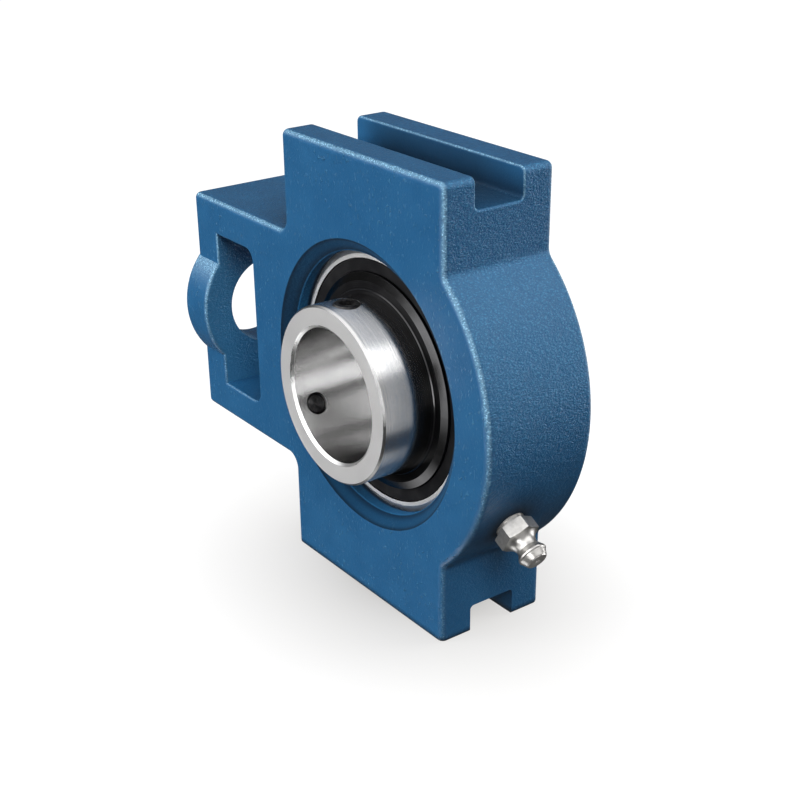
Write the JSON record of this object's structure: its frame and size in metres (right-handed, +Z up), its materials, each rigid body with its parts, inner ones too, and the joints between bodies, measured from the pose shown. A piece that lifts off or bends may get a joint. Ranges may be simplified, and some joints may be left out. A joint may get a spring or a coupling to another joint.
{
  "type": "take-up bearing unit",
  "caption": "Cast take-up housing with guide slots and a tail window, holding a spherical insert bearing that swivels and spins, with set screws and a grease nipple.",
  "frame": {"origin": "centre of the bearing, on the shaft's axis and halfway through the housing's width", "axes": "+Y along the shaft's axis, towards the back (the set screws are at the front, -Y); +X from the adjusting screw's end towards the ring; +Z up, across the two guide slots"},
  "size_m": [0.1177, 0.0407, 0.102],
  "materials": {
    "housing_paint": "semi-gloss paint over a fine cast grain",
    "ring_steel": "ground and polished",
    "ball_steel": "polished",
    "cage_steel": "pressed sheet",
    "seal_rubber": "satin",
    "flinger_black": "satin black",
    "screw_steel": "blackened",
    "nipple_plating": "bright nickel plate",
    "spring_steel": "plain wire"
  },
  "bodies": {
    "housing": {"housing": "housing_paint", "nipple_body": "nipple_plating", "nipple_spring": "spring_steel"},
    "outer_ring": {"outer_ring": "ring_steel", "front_seal": "seal_rubber", "rear_seal": "seal_rubber"},
    "inner_ring": {"inner_ring": "ring_steel", "front_flinger": "flinger_black", "rear_flinger": "flinger_black"},
    "cage": {"cage_front": "cage_steel", "cage_rear": "cage_steel", "cage_rivets": "cage_steel"},
    "ball_1": {"ball_1": "ball_steel"},
    "ball_2": {"ball_2": "ball_steel"},
    "ball_3": {"ball_3": "ball_steel"},
    "ball_4": {"ball_4": "ball_steel"},
    "ball_5": {"ball_5": "ball_steel"},
    "ball_6": {"ball_6": "ball_steel"},
    "ball_7": {"ball_7": "ball_steel"},
    "ball_8": {"ball_8": "ball_steel"},
    "ball_9": {"ball_9": "ball_steel"},
    "set_screw_1": {"set_screw_1": "screw_steel"},
    "set_screw_2": {"set_screw_2": "screw_steel"},
    "nipple_ball": {"nipple_ball": "ball_steel"}
  },
  "joints": [
    {"name": "bearing_swivel", "type": "hinge", "parent": "housing", "child": "outer_ring", "pos_m": [0, 0, 0], "axis": [0, 0, 1], "range_deg": [-5, 5]},
    {"name": "inner_spin", "type": "hinge", "parent": "outer_ring", "child": "inner_ring", "pos_m": [0, 0, 0], "axis": [0, 1, 0], "continuous": true},
    {"name": "cage_spin", "type": "hinge", "parent": "outer_ring", "child": "cage", "pos_m": [0, 0, 0], "axis": [0, 1, 0], "continuous": true},
    {"name": "ball_1_spin", "type": "hinge", "parent": "cage", "child": "ball_1", "pos_m": [0, 0, 0.023], "axis": [0, 1, 0], "continuous": true},
    {"name": "ball_2_spin", "type": "hinge", "parent": "cage", "child": "ball_2", "pos_m": [0.01478, 0, 0.01762], "axis": [0, 1, 0], "continuous": true},
    {"name": "ball_3_spin", "type": "hinge", "parent": "cage", "child": "ball_3", "pos_m": [0.02265, 0, 0.00399], "axis": [0, 1, 0], "continuous": true},
    {"name": "ball_4_spin", "type": "hinge", "parent": "cage", "child": "ball_4", "pos_m": [0.01992, 0, -0.0115], "axis": [0, 1, 0], "continuous": true},
    {"name": "ball_5_spin", "type": "hinge", "parent": "cage", "child": "ball_5", "pos_m": [0.00787, 0, -0.02161], "axis": [0, 1, 0], "continuous": true},
    {"name": "ball_6_spin", "type": "hinge", "parent": "cage", "child": "ball_6", "pos_m": [-0.00787, 0, -0.02161], "axis": [0, 1, 0], "continuous": true},
    {"name": "ball_7_spin", "type": "hinge", "parent": "cage", "child": "ball_7", "pos_m": [-0.01992, 0, -0.0115], "axis": [0, 1, 0], "continuous": true},
    {"name": "ball_8_spin", "type": "hinge", "parent": "cage", "child": "ball_8", "pos_m": [-0.02265, 0, 0.00399], "axis": [0, 1, 0], "continuous": true},
    {"name": "ball_9_spin", "type": "hinge", "parent": "cage", "child": "ball_9", "pos_m": [-0.01478, 0, 0.01762], "axis": [0, 1, 0], "continuous": true},
    {"name": "set_screw_1_travel", "type": "slide", "parent": "inner_ring", "child": "set_screw_1", "axis": [0, 0, 1], "range_m": [-0.00035, 0.0015]},
    {"name": "set_screw_2_travel", "type": "slide", "parent": "inner_ring", "child": "set_screw_2", "axis": [-0.866, 0, -0.5], "range_m": [-0.00035, 0.0015]},
    {"name": "nipple_valve", "type": "slide", "parent": "housing", "child": "nipple_ball", "axis": [-0.8771, 0, 0.4802], "range_m": [0, 0.0008], "stiffness_N_per_m": 300, "springref_m": -0.0005, "deforming": ["nipple_spring"]}
  ],
  "couplings": [
    {"joint": "cage_spin", "follows": "inner_spin", "ratio": 0.39647},
    {"joint": "ball_1_spin", "follows": "inner_spin", "ratio": -2.3112},
    {"joint": "ball_2_spin", "follows": "inner_spin", "ratio": -2.3112},
    {"joint": "ball_3_spin", "follows": "inner_spin", "ratio": -2.3112},
    {"joint": "ball_4_spin", "follows": "inner_spin", "ratio": -2.3112},
    {"joint": "ball_5_spin", "follows": "inner_spin", "ratio": -2.3112},
    {"joint": "ball_6_spin", "follows": "inner_spin", "ratio": -2.3112},
    {"joint": "ball_7_spin", "follows": "inner_spin", "ratio": -2.3112},
    {"joint": "ball_8_spin", "follows": "inner_spin", "ratio": -2.3112},
    {"joint": "ball_9_spin", "follows": "inner_spin", "ratio": -2.3112}
  ]
}
